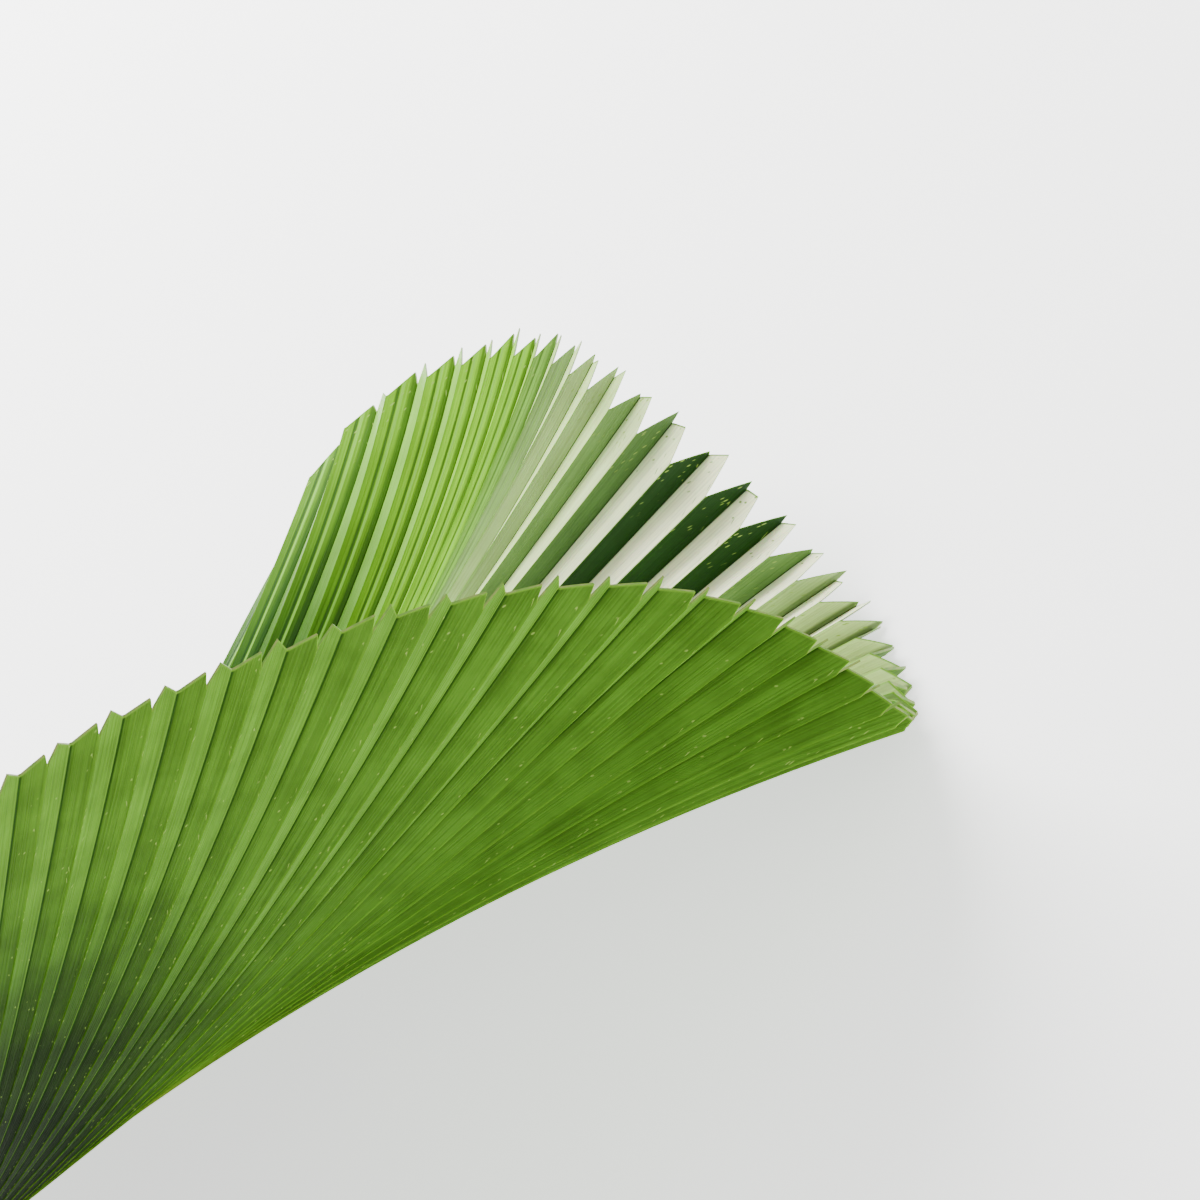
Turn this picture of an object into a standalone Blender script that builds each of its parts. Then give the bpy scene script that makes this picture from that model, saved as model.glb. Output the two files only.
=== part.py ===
"""A cut fan palm leaf: a round, pleated, ruffled blade on a short length of its stalk.

The leaf lies on a level surface at Z = 0. It rests on the tip of its front fold, on its two rear
lobes and on the end of the stalk. The fold runs towards +X and the stalk runs back towards -X.
Ribs are numbered by pleat, from 0 in the fold: negative on the steep near lobe, which rises on the
-Y side, and positive on the low far half, which lies on the +Y side.
"""
import math

import bmesh
import bpy
import numpy as np
from mathutils import Vector

# Sizes, in metres.
HUB_RADIUS = 0.014           # where the blade begins, round the head of the stalk
PLEAT_FADE = 0.060           # the pleats are flat at the hub and reach full depth this far out
BLADE_THICK_RIM = 0.0008
BLADE_THICK_HUB = 0.0010
SEAT_GAP = 0.0003            # between the blade and the head of the stalk
STALK_REACH = 0.345          # from the hub to the cut, measured along the surface
STALK_NECK_RADIUS = 0.0062
STALK_CUT_RADIUS = 0.0076
STALK_FLAT_RUN = 0.060       # the last stretch of the stalk, which lies flat on the surface
STALK_SINK = 0.0005          # how far that stretch is worn flat underneath
NECK_RUN = 0.012             # from the end of the round head to where the stalk begins to bend
REAR_LOBE_Y = 0.25           # the two rear lobes lie farther out than this, on either side
REAR_LOBE_X = 0.10           # and behind this
FRONT_FOLD_X = 0.35          # the tip of the front fold lies beyond this

# The wave of the blade, each list as (pleat, degrees): where a rib points, how steeply it rises,
# and how far its heading turns sideways and lifts on the way from the hub to the rim.
BEARINGS = ((-50, -112), (-45, -99), (-40, -88), (-35, -83), (-30, -75), (-21, -45), (-13, -21),
            (-5, -6), (-2, -3), (4, 10), (13, 31), (22, 52), (25, 61), (28, 68), (32, 74),
            (40, 92), (50, 118))
RISES = ((-50, -2), (-45, -5), (-40, 3), (-30, 30), (-24, 38), (-17, 32), (-9, 15), (-2, -1),
         (4, -5), (10, -1), (13, 4), (17, 6), (22, 5), (25, 3), (28, -4), (32, -4), (40, -4),
         (50, -5))
TURNS = ((-50, 2), (-40, 6), (-30, 15), (-21, 23), (-17, 29), (-13, 31), (-9, 26), (-5, 18),
         (-2, 16), (4, 25), (10, 32), (16, 32), (22, 31), (25, 28), (30, 19), (38, 10), (50, 4))
LIFTS = ((-50, -1), (-38, 1), (-30, 3), (-21, 11), (-17, 16), (-9, 0), (-2, -29), (1, -34),
         (7, -21), (12, -14), (16, 1), (19, 12), (22, 9), (25, -13), (28, -33), (32, -32),
         (40, -14), (50, 0))
# Length of the rib from the hub to the notch (in metres) and slope of the pleat's faces (in
# degrees), by pleat. The pleats lie nearly open on the steep lobe and shut in the fold.
LENGTHS = ((-50, 0.370), (-40, 0.400), (-30, 0.430), (-20, 0.425), (-10, 0.435), (0, 0.440),
           (10, 0.435), (14, 0.445), (20, 0.475), (23, 0.470), (26, 0.435), (32, 0.335), (40, 0.370),
           (50, 0.360))
PLEAT_SLOPES = ((-50, 20), (-30, 12), (-21, 8), (-17, 7), (-13, 15), (-10, 22), (-7, 32), (-3, 45),
                (1, 54), (7, 52), (10, 45), (13, 40), (16, 33), (20, 26), (30, 28), (50, 20))
# How far the pleats lean over (in degrees), by pleat: they fall over where the fold crowds them.
PLEAT_LEANS = ((-50, 0), (-6, 0), (-2, 2), (1, 14), (4, 34), (7, 35), (10, 28), (13, 26), (16, 26),
               (20, 16), (26, 0), (50, 0))
# The teeth, by pleat: height of the left lobe above the notch and its place on the left face, the
# same for the right lobe, and height of the slit between them. Heights are in metres, and places
# are shares of a face from the notch (0) to the midrib (1).
TEETH = (
    (-50, 0.006, 0.85, 0.008, 0.65, -0.002),
    (-20, 0.005, 0.85, 0.007, 0.62, -0.002),
    (-6, 0.005, 0.85, 0.007, 0.62, -0.002),
    (-2, 0.005, 0.80, 0.006, 0.68, -0.001),
    (2, 0.008, 0.65, 0.008, 0.80, 0.005),
    (5, 0.015, 0.52, 0.016, 0.88, 0.013),
    (8, 0.020, 0.48, 0.023, 0.90, 0.020),
    (11, 0.023, 0.48, 0.026, 0.90, 0.023),
    (14, 0.021, 0.50, 0.023, 0.90, 0.019),
    (17, 0.018, 0.55, 0.018, 0.88, 0.012),
    (20, 0.016, 0.60, 0.015, 0.86, 0.008),
    (24, 0.014, 0.65, 0.013, 0.80, 0.005),
    (50, 0.008, 0.80, 0.009, 0.70, 0.0),
)

PLEATS = 100
FIRST_PLEAT = -50
ROWS = (0.0, 0.10, 0.26, 0.44, 0.63, 0.82, 1.0)   # share of the way from the hub to the rim
RIB_STEPS = 16                                    # short straight steps that a rib is summed over
STALK_SIDES = 16
HEAD_RINGS = 8                                    # round the stalk's head
BEND_RINGS = 11                                   # along the stalk's bend
NECK_SWELL = 1.25                                 # the head ends where it is this many necks wide
LEVELLING_ROUNDS = 4
BLADE_COLOUR = (0.13, 0.33, 0.03, 1.0)
STALK_COLOUR = (0.30, 0.42, 0.08, 1.0)


def clear_scene():
    for thing in list(bpy.data.objects):
        bpy.data.objects.remove(thing)


def smooth_curve(points):
    """A natural cubic spline through (place, value) points, as a function of place."""
    x, y = np.array(points, dtype=float).T
    step = np.diff(x)
    slope = np.diff(y) / step
    count = len(x)
    system = np.eye(count)
    right = np.zeros(count)
    for i in range(1, count - 1):
        system[i, i - 1:i + 2] = step[i - 1], 2 * (step[i - 1] + step[i]), step[i]
        right[i] = 6 * (slope[i] - slope[i - 1])
    bend = np.linalg.solve(system, right)

    def value(place):
        place = np.asarray(place, dtype=float)
        i = np.clip(np.searchsorted(x, place) - 1, 0, count - 2)
        a = (x[i + 1] - place) / step[i]
        b = 1 - a
        cubic = ((a ** 3 - a) * bend[i] + (b ** 3 - b) * bend[i + 1]) * step[i] ** 2 / 6
        return a * y[i] + b * y[i + 1] + cubic

    return value


BEARING, RISE, TURN, LIFT = (smooth_curve(points) for points in (BEARINGS, RISES, TURNS, LIFTS))
RIB_LENGTH = smooth_curve(LENGTHS)
LEFT_HEIGHT, LEFT_PLACE, RIGHT_HEIGHT, RIGHT_PLACE, SLIT_HEIGHT = (
    smooth_curve([(row[0], row[i]) for row in TEETH]) for i in range(1, 6))
PLEAT_SLOPE = smooth_curve(PLEAT_SLOPES)
PLEAT_LEAN = smooth_curve(PLEAT_LEANS)


def rib_point(pleat, reach):
    """Points on the mean surface, reach metres out from the hub along the rib of each pleat."""
    pleat, reach = np.broadcast_arrays(np.asarray(pleat, float), np.asarray(reach, float))
    middles = (np.arange(RIB_STEPS) + 0.5) / RIB_STEPS
    along = middles * (reach / RIB_LENGTH(pleat))[..., None] - 0.5
    bearing = np.radians(BEARING(pleat)[..., None] + TURN(pleat)[..., None] * along)
    rise = np.radians(RISE(pleat)[..., None] + LIFT(pleat)[..., None] * along)
    heading = np.stack([np.cos(rise) * np.cos(bearing), np.cos(rise) * np.sin(bearing), np.sin(rise)], -1)
    return heading.mean(axis=-2) * reach[..., None]


def unit(way):
    """The same way, of length 1."""
    return way / np.linalg.norm(way, axis=-1, keepdims=True)


def pleat_way(pleat, reach):
    """The way from the midribs up to the sutures: the mean surface's normal, leant over sideways."""
    outward = rib_point(pleat, reach + 0.001) - rib_point(pleat, reach - 0.001)
    across = rib_point(pleat + 0.5, reach) - rib_point(pleat - 0.5, reach)
    normal = unit(np.cross(outward, across))
    sideways = unit(np.cross(normal, outward))
    lean = np.radians(PLEAT_LEAN(pleat))[..., None]
    return normal * np.cos(lean) - sideways * np.sin(lean)


def pleat_depth(pleat, reach):
    """Height from a midrib to the sutures beside it, and how squarely the faces cross that way."""
    half_gap = np.linalg.norm(rib_point(pleat + 0.5, reach) - rib_point(pleat - 0.5, reach), axis=-1) / 2
    fade = np.clip((reach - HUB_RADIUS) / PLEAT_FADE, 0, 1)
    fade = fade * fade * (3 - 2 * fade)
    depth = half_gap * np.tan(np.radians(PLEAT_SLOPE(pleat))) * fade
    return depth, half_gap * np.cos(np.radians(PLEAT_LEAN(pleat))) / np.hypot(half_gap, depth)


def skin_point(pleat, reach, height):
    """A point on the underside at height -0.5 (midrib) to 0.5 (suture), and its way through."""
    pleat, reach = np.asarray(pleat, float), np.asarray(reach, float)
    way = pleat_way(pleat, reach)
    depth, squareness = pleat_depth(pleat, reach)
    share = np.clip((reach - HUB_RADIUS) / (RIB_LENGTH(pleat) - HUB_RADIUS), 0, 1)
    thick = BLADE_THICK_HUB + (BLADE_THICK_RIM - BLADE_THICK_HUB) * share
    through = way * (thick / squareness)[..., None]
    point = rib_point(pleat, reach) + way * (depth * height)[..., None] - through / 2
    return point, through


def place_column(column, rows):
    """One column of the skin, hub to rim: a suture on even columns and a midrib on odd ones."""
    midrib = column % 2
    pleat = FIRST_PLEAT + column / 2
    rim = RIB_LENGTH(pleat) + midrib * SLIT_HEIGHT(pleat)
    reach = HUB_RADIUS + np.array(rows) * (rim - HUB_RADIUS)
    return skin_point(np.full(len(rows), pleat), reach, np.full(len(rows), 0.5 - midrib))


def tooth_tip(column):
    """The tip of the lobe that stands on the rim between this column and the next."""
    on_right = column % 2
    pleat = FIRST_PLEAT + (column + 0.5) / 2
    share = float(RIGHT_PLACE(pleat) if on_right else LEFT_PLACE(pleat))
    height = RIGHT_HEIGHT(pleat) if on_right else LEFT_HEIGHT(pleat)
    pleat = FIRST_PLEAT + (column + (1 - share if on_right else share)) / 2
    return skin_point(pleat, RIB_LENGTH(pleat) + height, 0.5 - share)


def blade_sheet():
    """The blade's underside as a sheet of triangles that keeps each vertex's way through."""
    sheet = bmesh.new()
    columns = 2 * PLEATS + 1
    bmesh.ops.create_grid(sheet, x_segments=columns - 1, y_segments=len(ROWS) - 1, size=1.0)
    way = sheet.verts.layers.float_vector.new("way")
    sheet.verts.ensure_lookup_table()
    for column in range(columns):
        points, ways = place_column(column, ROWS)
        for row in range(len(ROWS)):
            vert = sheet.verts[row * columns + column]
            vert.co = points[row]
            vert[way] = ways[row]
    bmesh.ops.triangulate(sheet, faces=sheet.faces[:])
    rim = [sheet.verts[(len(ROWS) - 1) * columns + column] for column in range(columns)]
    for column in range(columns - 1):
        point, tip_way = tooth_tip(column)
        tip = sheet.verts.new(point)
        tip[way] = tip_way
        sheet.faces.new((rim[column], tip, rim[column + 1]))
    return sheet


def blade_body():
    """The closed blade: the sheet and its copy through the thickness, walled along their edges."""
    sheet = blade_sheet()
    way = sheet.verts.layers.float_vector["way"]
    grown = bmesh.ops.extrude_face_region(sheet, geom=sheet.faces[:], use_keep_orig=True)
    for vert in [item for item in grown["geom"] if isinstance(item, bmesh.types.BMVert)]:
        vert.co += vert[way]
    bmesh.ops.triangulate(sheet, faces=[face for face in sheet.faces if len(face.verts) > 3])
    bmesh.ops.recalc_face_normals(sheet, faces=sheet.faces[:])
    return sheet


def lowest_vertex(verts, side):
    """The lowest vertex of the rear near lobe (-1), the front fold (0) or the rear far lobe (1)."""
    if side:
        near_by = [vert for vert in verts if vert.co.y * side > REAR_LOBE_Y and vert.co.x < REAR_LOBE_X]
    else:
        near_by = [vert for vert in verts if vert.co.x > FRONT_FOLD_X]
    return min(near_by, key=lambda vert: vert.co.z).co.copy()


def set_down(sheet):
    """Turns the blade level on its three lowest places and returns the height of its hub."""
    hub = Vector((0.0, 0.0, 0.0))
    for _ in range(LEVELLING_ROUNDS):
        near, front, far = (lowest_vertex(sheet.verts, side) for side in (-1, 0, 1))
        normal = (front - near).cross(far - near).normalized()
        level = normal.rotation_difference(Vector((0.0, 0.0, 1.0))).to_matrix()
        bmesh.ops.rotate(sheet, verts=sheet.verts[:], cent=hub, matrix=level)
    floor = min(vert.co.z for vert in sheet.verts)
    bmesh.ops.translate(sheet, verts=sheet.verts[:], vec=(0.0, 0.0, -floor))
    return -floor


def stalk_stations(hub_height):
    """Places along the stalk, as (distance behind the hub, height of its middle, radius)."""
    ball = HUB_RADIUS - SEAT_GAP
    neck_angle = math.pi - math.asin(STALK_NECK_RADIUS * NECK_SWELL / ball)
    stations = []
    for angle in np.linspace(0, neck_angle, HEAD_RINGS + 1)[1:]:
        stations.append((-ball * math.cos(angle), hub_height, ball * math.sin(angle)))
    rest_height = STALK_CUT_RADIUS - STALK_SINK
    start = stations[-1][0] + NECK_RUN
    bend_run = STALK_REACH - STALK_FLAT_RUN - start
    for share in np.linspace(0, 1, BEND_RINGS):
        fall = share * share * (3 - 2 * share)
        height = hub_height + (rest_height - hub_height) * fall
        radius = STALK_NECK_RADIUS + (STALK_CUT_RADIUS - STALK_NECK_RADIUS) * share
        stations.append((start + bend_run * share, height, radius))
    for behind in (STALK_REACH - STALK_FLAT_RUN / 2, STALK_REACH):
        stations.append((behind, rest_height, STALK_CUT_RADIUS))
    return stations


def stalk_body(hub_height):
    """The stalk: a ring carried back from the tip of its ball-shaped head to the cut end."""
    body = bmesh.new()
    rings = []
    for behind, height, radius in stalk_stations(hub_height):
        ring = []
        for side in range(STALK_SIDES):
            angle = 2 * math.pi * (side + 0.5) / STALK_SIDES
            rise = max(height - radius * math.cos(angle), 0.0)
            ring.append(body.verts.new((-behind, radius * math.sin(angle), rise)))
        rings.append(ring)
    tip = body.verts.new((HUB_RADIUS - SEAT_GAP, 0.0, hub_height))
    for side in range(STALK_SIDES):
        after = (side + 1) % STALK_SIDES
        body.faces.new((tip, rings[0][side], rings[0][after]))
        for ring, behind_ring in zip(rings, rings[1:]):
            body.faces.new((ring[side], behind_ring[side], behind_ring[after], ring[after]))
    body.faces.new(rings[-1])
    bmesh.ops.recalc_face_normals(body, faces=body.faces[:])
    return body


def finish(name, body, colour, roughness, shift):
    """Makes a named object of a body, with its own material, moved to the leaf's origin."""
    bmesh.ops.translate(body, verts=body.verts[:], vec=shift)
    mesh = bpy.data.meshes.new(name)
    body.to_mesh(mesh)
    body.free()
    material = bpy.data.materials.new(name)
    material.use_nodes = True
    shader = material.node_tree.nodes["Principled BSDF"]
    shader.inputs["Base Color"].default_value = colour
    shader.inputs["Roughness"].default_value = roughness
    shader.inputs["Metallic"].default_value = 0.0
    mesh.materials.append(material)
    thing = bpy.data.objects.new(name, mesh)
    bpy.context.scene.collection.objects.link(thing)
    return thing


def main():
    clear_scene()
    blade = blade_body()
    hub_height = set_down(blade)
    stalk = stalk_body(hub_height)
    corners = np.array([vert.co[:] for body in (blade, stalk) for vert in body.verts])
    middle = (corners.min(axis=0) + corners.max(axis=0)) / 2
    shift = Vector((-middle[0], -middle[1], 0.0))
    finish("leaf_blade", blade, BLADE_COLOUR, 0.45, shift)
    finish("leaf_stalk", stalk, STALK_COLOUR, 0.5, shift)


main()
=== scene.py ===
"""Dresses a cut fan palm leaf: its finely pleated blade, its stalk, and the stage it lies on.

Ribs are numbered by pleat, from 0 in the front fold: negative on the steep near lobe and positive
on the low far half. Every piece is worked out again from the leaf's own measures.
"""
import math

import bmesh
import bpy
import numpy as np
from bpy.props import FloatProperty, FloatVectorProperty, IntProperty, PointerProperty
from mathutils import Matrix, Vector


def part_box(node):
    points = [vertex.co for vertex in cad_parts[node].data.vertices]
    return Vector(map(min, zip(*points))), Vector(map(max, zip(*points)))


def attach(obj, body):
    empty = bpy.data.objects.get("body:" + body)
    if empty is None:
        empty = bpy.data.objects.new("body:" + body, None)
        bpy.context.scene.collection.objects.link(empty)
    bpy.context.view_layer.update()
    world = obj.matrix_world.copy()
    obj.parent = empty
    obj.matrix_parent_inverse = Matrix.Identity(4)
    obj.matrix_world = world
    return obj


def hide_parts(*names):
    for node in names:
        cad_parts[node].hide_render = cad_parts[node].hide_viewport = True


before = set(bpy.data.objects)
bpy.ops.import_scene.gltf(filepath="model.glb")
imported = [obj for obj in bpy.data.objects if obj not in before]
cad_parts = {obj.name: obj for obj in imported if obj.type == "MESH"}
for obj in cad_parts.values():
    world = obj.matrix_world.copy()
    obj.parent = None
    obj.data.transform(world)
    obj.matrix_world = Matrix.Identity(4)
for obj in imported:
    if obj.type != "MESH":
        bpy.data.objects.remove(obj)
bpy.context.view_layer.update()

bl_info = {
    "name": "Fan Palm Leaf",
    "version": (1, 0, 0),
    "blender": (4, 5, 0),
    "location": "View3D > Sidebar > Palm Leaf",
    "description": "Builds a pleated fan palm leaf on a pale floor",
    "category": "Add Mesh",
}

# Sizes of the leaf, in metres.
HUB_RADIUS = 0.014
PLEAT_FADE = 0.060
BLADE_THICK_RIM = 0.0008
BLADE_THICK_HUB = 0.0010
SEAT_GAP = 0.0003
STALK_REACH = 0.345
STALK_NECK_RADIUS = 0.0062
STALK_CUT_RADIUS = 0.0076
STALK_FLAT_RUN = 0.060
STALK_SINK = 0.0005

# The wave of the blade, each list as (pleat, degrees): where a rib points, how steeply it rises,
# and how far its heading turns sideways and lifts on the way from the hub to the rim.
BEARINGS = ((-50, -112), (-45, -99), (-40, -88), (-35, -83), (-30, -75), (-21, -45), (-13, -21),
            (-5, -6), (-2, -3), (4, 10), (13, 31), (22, 52), (25, 61), (28, 68), (32, 74),
            (40, 92), (50, 118))
RISES = ((-50, -2), (-45, -5), (-40, 3), (-30, 30), (-24, 38), (-17, 32), (-9, 15), (-2, -1),
         (4, -5), (10, -1), (13, 4), (17, 6), (22, 5), (25, 3), (28, -4), (32, -4), (40, -4),
         (50, -5))
TURNS = ((-50, 2), (-40, 6), (-30, 15), (-21, 23), (-17, 29), (-13, 31), (-9, 26), (-5, 18),
         (-2, 16), (4, 25), (10, 32), (16, 32), (22, 31), (25, 28), (30, 19), (38, 10), (50, 4))
LIFTS = ((-50, -1), (-38, 1), (-30, 3), (-21, 11), (-17, 16), (-9, 0), (-2, -29), (1, -34),
         (7, -21), (12, -14), (16, 1), (19, 12), (22, 9), (25, -13), (28, -33), (32, -32),
         (40, -14), (50, 0))
# Length of the rib from the hub to the notch (in metres) and slope of the pleat's faces (in
# degrees), by pleat. The pleats lie nearly open on the steep lobe and shut in the fold.
LENGTHS = ((-50, 0.370), (-40, 0.400), (-30, 0.430), (-20, 0.425), (-10, 0.435), (0, 0.440),
           (10, 0.435), (14, 0.445), (20, 0.475), (23, 0.470), (26, 0.435), (32, 0.335), (40, 0.370),
           (50, 0.360))
PLEAT_SLOPES = ((-50, 20), (-30, 12), (-21, 8), (-17, 7), (-13, 15), (-10, 22), (-7, 32), (-3, 45),
                (1, 54), (7, 52), (10, 45), (13, 40), (16, 33), (20, 26), (30, 28), (50, 20))
# How far the pleats lean over (in degrees), by pleat: they fall over where the fold crowds them.
PLEAT_LEANS = ((-50, 0), (-6, 0), (-2, 2), (1, 14), (4, 34), (7, 35), (10, 28), (13, 26), (16, 26),
               (20, 16), (26, 0), (50, 0))
# The teeth, by pleat: height of the left lobe above the notch and its place on the left face, the
# same for the right lobe, and height of the slit between them. Heights are in metres, and places
# are shares of a face from the notch (0) to the midrib (1).
TEETH = (
    (-50, 0.006, 0.85, 0.008, 0.65, -0.002),
    (-20, 0.005, 0.85, 0.007, 0.62, -0.002),
    (-6, 0.005, 0.85, 0.007, 0.62, -0.002),
    (-2, 0.005, 0.80, 0.006, 0.68, -0.001),
    (2, 0.008, 0.65, 0.008, 0.80, 0.005),
    (5, 0.015, 0.52, 0.016, 0.88, 0.013),
    (8, 0.020, 0.48, 0.023, 0.90, 0.020),
    (11, 0.023, 0.48, 0.026, 0.90, 0.023),
    (14, 0.021, 0.50, 0.023, 0.90, 0.019),
    (17, 0.018, 0.55, 0.018, 0.88, 0.012),
    (20, 0.016, 0.60, 0.015, 0.86, 0.008),
    (24, 0.014, 0.65, 0.013, 0.80, 0.005),
    (50, 0.008, 0.80, 0.009, 0.70, 0.0),
)

PLEATS = 100
FIRST_PLEAT = -50
RIB_STEPS = 16

# The leaf is levelled on three places: the two rear lobes, which lie farther out than REAR_LOBE_Y
# on either side and behind REAR_LOBE_X, and the tip of the front fold, beyond FRONT_FOLD_X.
REAR_LOBE_Y = 0.25
REAR_LOBE_X = 0.10
FRONT_FOLD_X = 0.35
LEVELLING_ROUNDS = 3

# How the finer blade is divided and dressed.
BLADE_ROWS = 30
FACE_SHARES = (0.0, 0.06, 0.35, 0.7)       # places on a face: two at its suture, two short of its tip
MIDRIB_SHARE = 0.95                        # the last place before the midrib
SUTURE_RIDGE = 0.00025
MIDRIB_RIDGE = 0.0004
TIP_VARIATION = 0.12
SLOPE_STEP = 0.001                         # how far along a rib the surface's slope is felt
SMOOTH_ANGLE = 40                          # sharper edges than this, in degrees, stay sharp

# The stalk's head, neck and cut end.
NECK_SWELL = 1.25                          # the head ends at this many neck radii
NECK_RUN = 0.012
HEAD_STATIONS = 14
CUT_INSET = 0.0011
CUT_DEPTH = -0.0004

# Tones of the upper side's faces, by pleat: the left face of a pleat, then its right face. The cream,
# soft and grey tones are painted reflections, the pale stripes painted highlights and the deep green
# painted shade.
LEFT_TONES = ((-50, "upper_green"), (-1, "upper_green"), (2, "painted_reflection_cream"), (12, "painted_reflection_cream"),
              (14, "painted_reflection_soft"), (17, "painted_reflection_soft"), (19, "upper_lime"), (22, "painted_highlight_stripe"),
              (27, "painted_highlight_stripe"), (34, "upper_green"), (50, "upper_green"))
RIGHT_TONES = ((-50, "upper_green"), (0, "upper_green"), (2, "painted_reflection_soft"), (7, "painted_reflection_soft"),
               (8.2, "painted_sheen_grey"), (9.3, "upper_painted_shade"), (11.7, "upper_painted_shade"), (13.5, "painted_sheen_grey"),
               (15, "painted_reflection_soft"), (17, "painted_sheen_grey"), (18.5, "upper_lime"), (21, "upper_lime"),
               (26, "upper_green"), (50, "upper_green"))
NOISE_BAND = (0.3, 0.7)                    # most of a noise lies between these
RIM_LINE = (0.9972, 0.9992)                # where the rim's thin pale line starts and is full

# Lights and camera, in metres. The camera looks as the photograph does.
KEY_PLACE = (-0.5, 2.5, 1.9)
KEY_SIZE = 2.6
FILL_PLACE = (0.6, -2.6, 1.6)
FILL_SIZE = 2.0
LIGHT_AIM = (0.0, 0.0, 0.1)
CAMERA_PLACE = (0.7349, -1.8987, 1.0341)
CAMERA_RIGHT = (0.83189, -0.07984, -0.54916)
CAMERA_UP = (0.52023, 0.45668, 0.72167)
CAMERA_REACH = 50.0
WHITE = (1.0, 1.0, 1.0, 1.0)
FLOOR_SHADE = (0.8, 0.8, 0.8)


def smooth_curve(points):
    """A natural cubic spline through (place, value) points, as a function of place."""
    x, y = np.array(points, dtype=float).T
    step = np.diff(x)
    slope = np.diff(y) / step
    count = len(x)
    system = np.eye(count)
    right = np.zeros(count)
    for i in range(1, count - 1):
        system[i, i - 1:i + 2] = step[i - 1], 2 * (step[i - 1] + step[i]), step[i]
        right[i] = 6 * (slope[i] - slope[i - 1])
    bend = np.linalg.solve(system, right)

    def value(place):
        place = np.asarray(place, dtype=float)
        i = np.clip(np.searchsorted(x, place) - 1, 0, count - 2)
        a = (x[i + 1] - place) / step[i]
        b = 1 - a
        cubic = ((a ** 3 - a) * bend[i] + (b ** 3 - b) * bend[i + 1]) * step[i] ** 2 / 6
        return a * y[i] + b * y[i + 1] + cubic

    return value


BEARING, RISE, TURN, LIFT = (smooth_curve(points) for points in (BEARINGS, RISES, TURNS, LIFTS))
RIB_LENGTH = smooth_curve(LENGTHS)
LEFT_HEIGHT, LEFT_PLACE, RIGHT_HEIGHT, RIGHT_PLACE, SLIT_HEIGHT = (
    smooth_curve([(row[0], row[i]) for row in TEETH]) for i in range(1, 6))
PLEAT_SLOPE = smooth_curve(PLEAT_SLOPES)
PLEAT_LEAN = smooth_curve(PLEAT_LEANS)


def rib_point(pleat, reach):
    """Points on the mean surface, reach metres out from the hub along the rib of each pleat."""
    pleat, reach = np.broadcast_arrays(np.asarray(pleat, float), np.asarray(reach, float))
    middles = (np.arange(RIB_STEPS) + 0.5) / RIB_STEPS
    along = middles * (reach / RIB_LENGTH(pleat))[..., None] - 0.5
    bearing = np.radians(BEARING(pleat)[..., None] + TURN(pleat)[..., None] * along)
    rise = np.radians(RISE(pleat)[..., None] + LIFT(pleat)[..., None] * along)
    level = np.cos(rise)
    heading = np.stack([level * np.cos(bearing), level * np.sin(bearing), np.sin(rise)], -1)
    return heading.mean(axis=-2) * reach[..., None]


def unit(way):
    """The same way, of length 1."""
    return way / np.linalg.norm(way, axis=-1, keepdims=True)


def pleat_way(pleat, reach):
    """The way from the midribs up to the sutures: the mean surface's normal, leant over sideways."""
    outward = rib_point(pleat, reach + SLOPE_STEP) - rib_point(pleat, reach - SLOPE_STEP)
    across = rib_point(pleat + 0.5, reach) - rib_point(pleat - 0.5, reach)
    normal = unit(np.cross(outward, across))
    sideways = unit(np.cross(normal, outward))
    lean = np.radians(PLEAT_LEAN(pleat))[..., None]
    return normal * np.cos(lean) - sideways * np.sin(lean)


def pleat_depth(pleat, reach):
    """Height from a midrib to the sutures beside it, and how squarely the faces cross that way."""
    gap = rib_point(pleat + 0.5, reach) - rib_point(pleat - 0.5, reach)
    half_gap = np.linalg.norm(gap, axis=-1) / 2
    fade = np.clip((reach - HUB_RADIUS) / PLEAT_FADE, 0, 1)
    fade = fade * fade * (3 - 2 * fade)
    depth = half_gap * np.tan(np.radians(PLEAT_SLOPE(pleat))) * fade
    return depth, half_gap * np.cos(np.radians(PLEAT_LEAN(pleat))) / np.hypot(half_gap, depth)


def skin_point(pleat, reach, height):
    """A point on the underside at height -0.5 (midrib) to 0.5 (suture), and its way through."""
    pleat, reach = np.asarray(pleat, float), np.asarray(reach, float)
    way = pleat_way(pleat, reach)
    depth, squareness = pleat_depth(pleat, reach)
    share = np.clip((reach - HUB_RADIUS) / (RIB_LENGTH(pleat) - HUB_RADIUS), 0, 1)
    thick = BLADE_THICK_HUB + (BLADE_THICK_RIM - BLADE_THICK_HUB) * share
    through = way * (thick / squareness)[..., None]
    point = rib_point(pleat, reach) + way * (depth * height)[..., None] - through / 2
    return point, through


def pleat_shares(pleat):
    """Places across one pleat, from its first suture (0) over the midrib (0.5), with the rim there."""
    left, right = float(LEFT_PLACE(pleat + 0.25)), float(RIGHT_PLACE(pleat + 0.75))
    odd = 1 + TIP_VARIATION * math.sin(pleat * 2.4)
    even = 1 + TIP_VARIATION * math.sin(pleat * 3.7 + 1)
    knots = (0.0, left / 2, 0.5, 1 - right / 2, 1.0)
    heights = (0.0, odd * LEFT_HEIGHT(pleat + 0.25), SLIT_HEIGHT(pleat + 0.5),
               even * RIGHT_HEIGHT(pleat + 0.75), 0.0)
    places = []
    for tip in (left, right):
        shares = [*FACE_SHARES[:2], FACE_SHARES[2] * tip, FACE_SHARES[3] * tip, tip,
                  (1 + tip) / 2, MIDRIB_SHARE]
        places.append([share / 2 for share in shares])
    across = places[0] + [0.5] + [1 - place for place in reversed(places[1][1:])]
    return np.array(across), np.interp(across, knots, heights)


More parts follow.
